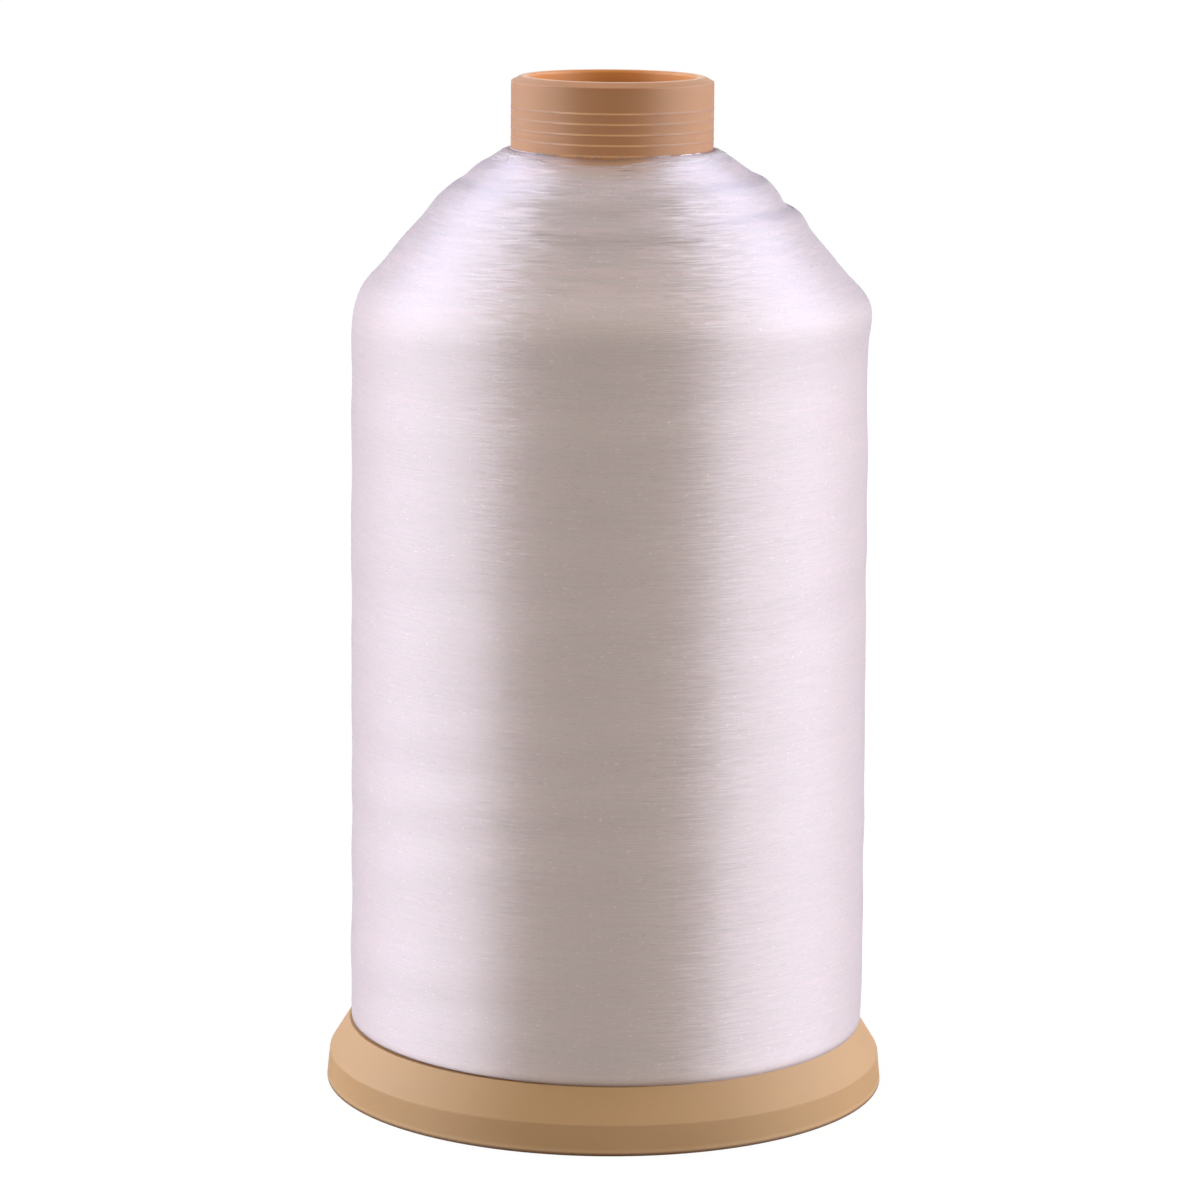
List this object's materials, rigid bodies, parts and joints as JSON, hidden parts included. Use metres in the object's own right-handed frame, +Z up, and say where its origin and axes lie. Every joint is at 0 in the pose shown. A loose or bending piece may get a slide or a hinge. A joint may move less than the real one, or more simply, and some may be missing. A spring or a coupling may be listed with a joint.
{
  "type": "fishing line spool",
  "caption": "Tall flanged-base spool wound with clear monofilament fishing line, with an open neck for a winding spindle.",
  "frame": {"origin": "centre of the base's foot, on the surface that the spool stands on", "axes": "+Z up along the spool's axis, towards the neck; X and Y are free, because the spool is round"},
  "size_m": [0.1498, 0.1498, 0.27],
  "materials": {
    "base_plastic": "moulded, satin, beige",
    "tube_plastic": "moulded, satin, peach",
    "line_nylon": "clear nylon monofilament, wound tight"
  },
  "bodies": {
    "root": {"base_flange": "base_plastic", "core_tube": "tube_plastic", "line_package": "line_nylon", "line_outer_lay": "line_nylon"}
  },
  "joints": []
}
